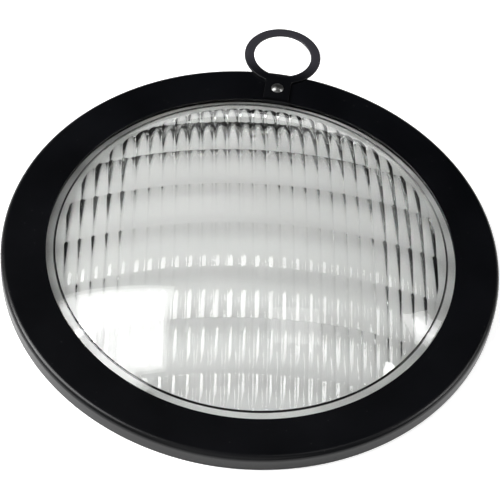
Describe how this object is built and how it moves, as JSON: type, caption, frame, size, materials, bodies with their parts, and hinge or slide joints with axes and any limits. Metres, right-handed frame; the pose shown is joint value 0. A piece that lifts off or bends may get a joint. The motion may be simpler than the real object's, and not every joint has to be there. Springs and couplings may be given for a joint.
{
  "type": "stage light spread lens",
  "caption": "Domed, fluted glass spread lens in a round black sheet-metal holder frame with a riveted finger loop, for a PAR-type stage light.",
  "frame": {"origin": "on the frame's axis, in the plane of the frame's rear edge", "axes": "+Z out of the front of the glass, +Y towards the finger loop, +X completes the right-handed set"},
  "size_m": [0.19, 0.2146, 0.0255],
  "materials": {
    "black_paint": "satin black powder coat",
    "clear_glass": "moulded clear borosilicate, polished front, pressed flutes behind",
    "fibre_tape": "dark woven glass-fibre tape",
    "spring_steel": "dark blued spring strip",
    "plated_steel": "bright zinc plate"
  },
  "bodies": {
    "holder": {"front_frame": "black_paint", "rear_retainer": "black_paint", "finger_loop": "black_paint", "lip_gasket": "fibre_tape", "lens_spring_1": "spring_steel", "lens_spring_2": "spring_steel", "lens_spring_3": "spring_steel", "spring_rivets": "plated_steel", "loop_rivet": "plated_steel"},
    "lens": {"spread_lens": "clear_glass"}
  },
  "joints": [
    {"name": "lens_turn", "type": "hinge", "parent": "holder", "child": "lens", "pos_m": [0, 0, 0], "axis": [0, 0, 1], "continuous": true}
  ]
}
